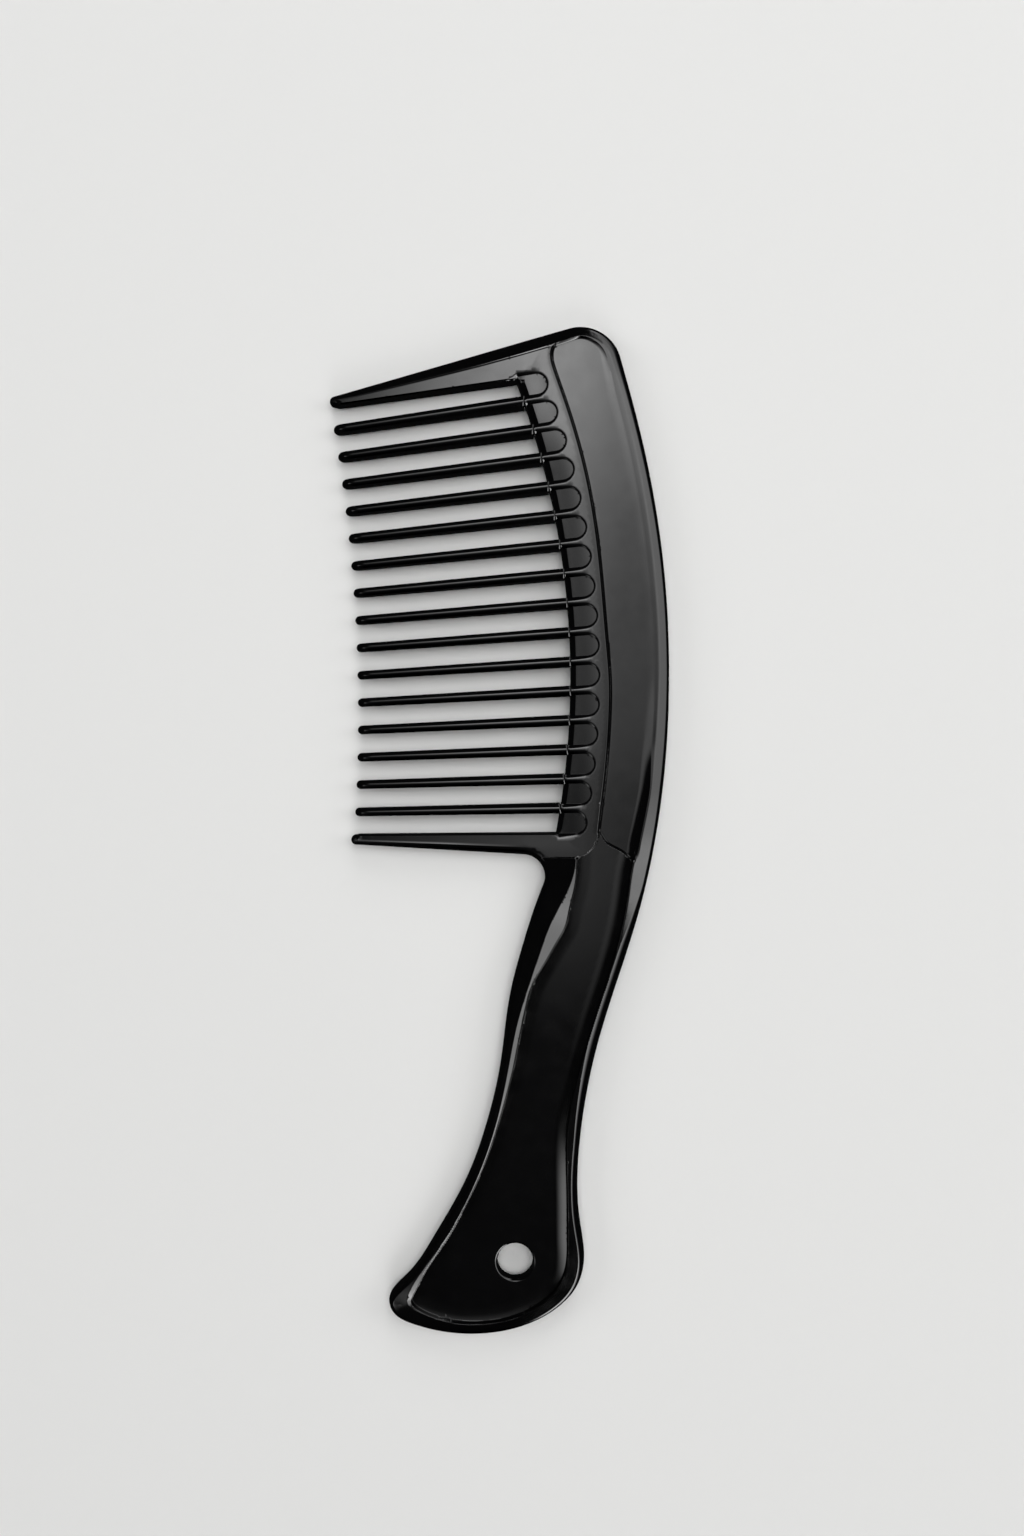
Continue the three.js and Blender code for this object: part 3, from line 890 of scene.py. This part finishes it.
def add_piece(node, points, polygons, corner_normals=None):
    """A piece in place of the CAD node of the same name."""
    mesh = bpy.data.meshes.new(PIECE.format(node))
    mesh.from_pydata((np.asarray(points) * MM).tolist(), [], polygons)
    mesh.shade_smooth()
    if corner_normals is not None:
        mesh.normals_split_custom_set(corner_normals.tolist())
    mesh.materials.append(PLASTIC)
    piece = bpy.data.objects.new(PIECE.format(node), mesh)
    bpy.context.scene.collection.objects.link(piece)
    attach(piece, "root")
    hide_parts(node)
    return piece


def build_comb():
    points, triangles = plate_mesh()
    heights = half_height(points)
    normals = face_normals(points, triangles, heights)
    for name, members in plate_pieces(points[triangles].mean(axis=1)).items():
        plate_piece(name, points, heights, triangles[members], normals[members])
    for number in range(1, TOOTH_COUNT + 1):
        tooth(number)


# ---------------------------------------------------------------- table, light and camera

def build_table():
    """A plain pale table, which doesn't show in the gloss of the comb's sides."""
    half = 3.0
    corners = [(-half, -half, 0), (half, -half, 0), (half, half, 0), (-half, half, 0)]
    mesh = bpy.data.meshes.new("table")
    mesh.from_pydata(corners, [], [(0, 1, 2, 3)])
    table = bpy.data.objects.new("table", mesh)
    bpy.context.scene.collection.objects.link(table)
    material = bpy.data.materials.new("pale_table")
    material.use_nodes = True
    shader = material.node_tree.nodes["Principled BSDF"]
    shader.inputs["Base Color"].default_value = (0.8, 0.8, 0.79, 1)
    shader.inputs["Roughness"].default_value = 0.7
    shader.inputs["Specular IOR Level"].default_value = 0.2
    mesh.materials.append(material)
    table.visible_glossy = False


# How bright the panel overhead is at each step of y, the second part of a direction of length 1.
OVERHEAD = [
    (-0.5, 0.0), (-0.23, 0.03), (-0.12, 0.42), (-0.05, 0.45), (0.0, 0.88), (0.1, 1.2), (0.18, 1.95),
    (0.28, 3.9), (0.34, 3.9), (0.46, 0.0), (0.5, 0.0),
]


def build_world():
    """A plain pale backdrop. In the gloss of the plastic it is a dim room instead, with a wide soft
    panel of light overhead, brighter towards +Y, and a panel to each side."""
    world = bpy.data.worlds.new("studio")
    bpy.context.scene.world = world
    world.use_nodes = True
    nodes, links = world.node_tree.nodes, world.node_tree.links
    place = nodes.new("ShaderNodeTexCoord")
    split = nodes.new("ShaderNodeSeparateXYZ")
    links.new(place.outputs["Generated"], split.inputs["Vector"])
    x, y, z = split.outputs

    def calc(operation, *values):
        node = nodes.new("ShaderNodeMath")
        node.operation = operation
        for slot, value in zip(node.inputs, values):
            if isinstance(value, (int, float)):
                slot.default_value = value
            else:
                links.new(value, slot)
        return node.outputs[0]

    def fade(value, start, end):
        node = nodes.new("ShaderNodeMapRange")
        node.interpolation_type = "SMOOTHSTEP"
        node.inputs["From Min"].default_value = start
        node.inputs["From Max"].default_value = end
        links.new(value, node.inputs["Value"])
        return node.outputs["Result"]

    def product(*values):
        result = values[0]
        for value in values[1:]:
            result = calc("MULTIPLY", result, value)
        return result

    def stepped(value, stops):
        """Brightness at places along an axis, from a few stops with straight lines between."""
        node = nodes.new("ShaderNodeFloatCurve")
        curve = node.mapping.curves[0]
        for index, (at, level) in enumerate(stops):
            if index < 2:
                curve.points[index].location = at + 0.5, level / 4
            else:
                curve.points.new(at + 0.5, level / 4)
        for point in curve.points:
            point.handle_type = "VECTOR"
        node.mapping.update()
        links.new(calc("ADD", value, 0.5), node.inputs["Value"])
        return calc("MULTIPLY", node.outputs[0], 4.0)

    above = fade(z, -0.02, 0.05)

    # The panel overhead is brighter over the bar and the teeth, and reaches farther right at the top.
    over_teeth = calc("ADD", calc("MULTIPLY", fade(x, 0.085, 0.045), 0.8), 1.0)
    right_end = calc("MAXIMUM", fade(x, 0.2, 0.14), product(fade(y, -0.03, 0.03), fade(x, 0.4, 0.24)))
    left_end = fade(x, -0.2, 0.0)
    overhead = product(stepped(y, OVERHEAD), right_end, left_end, above, over_teeth, 0.92)

    # The panel to the right is brighter beside the handle, and brightest beside its round end.
    by_handle = calc("ADD", product(fade(y, -0.02, -0.12), 2.0), product(fade(y, -0.3, -0.5), 6.0))
    right = product(calc("ADD", by_handle, 2.6), fade(x, 0.24, 0.34), fade(x, 0.85, 0.3), above)

    # The panel to the left is only beside the handle's round end.
    by_end = product(fade(y, -0.25, -0.33), fade(y, -0.5, -0.42), 3.0)
    left = product(by_end, fade(x, -0.12, -0.5), fade(x, -0.62, -0.54), above)

    studio = calc("ADD", calc("ADD", overhead, right), calc("ADD", left, 0.008))
    seen = nodes.new("ShaderNodeLightPath").outputs["Is Camera Ray"]
    strength = calc("ADD", product(seen, 0.75), product(calc("SUBTRACT", 1.0, seen), studio))
    links.new(strength, nodes["Background"].inputs["Strength"])
    nodes["Background"].inputs["Color"].default_value = (1, 1, 1, 1)
    world.cycles_visibility.diffuse = False


def add_lamp(name, energy, size, place, aim=(0, 0, 0)):
    """A soft lamp that lights the table without showing in the gloss of the plastic."""
    data = bpy.data.lights.new(name, "AREA")
    data.energy = energy
    data.size = size
    lamp = bpy.data.objects.new(name, data)
    lamp.location = place
    lamp.rotation_euler = (Vector(aim) - Vector(place)).to_track_quat("-Z", "Y").to_euler()
    lamp.visible_glossy = False
    bpy.context.scene.collection.objects.link(lamp)


CAMERA = (2.8, 20.84, MID + 292)


def build_camera():
    """Straight above the comb, as it is pictured, a little off its middle."""
    data = bpy.data.cameras.new("camera")
    data.sensor_width = 36
    data.lens = 30.54
    data.shift_y = -0.0205
    data.clip_start = 0.01
    camera = bpy.data.objects.new("camera", data)
    camera.location = Vector(CAMERA) * MM
    bpy.context.scene.collection.objects.link(camera)
    bpy.context.scene.camera = camera


def build_lamps():
    add_lamp("overhead", 9.0, 1.0, (0.1, 0.2, 1.2))
    for number, (x, y) in enumerate([(1, 0.2), (-1, 0.2), (0.1, 1), (0.1, -1)], 1):
        add_lamp(f"side_{number}", 3.3, 0.6, (x, y, 0.62))


build_camera()
build_world()
build_lamps()
build_table()
build_comb()
bpy.context.scene.view_settings.view_transform = "Standard"
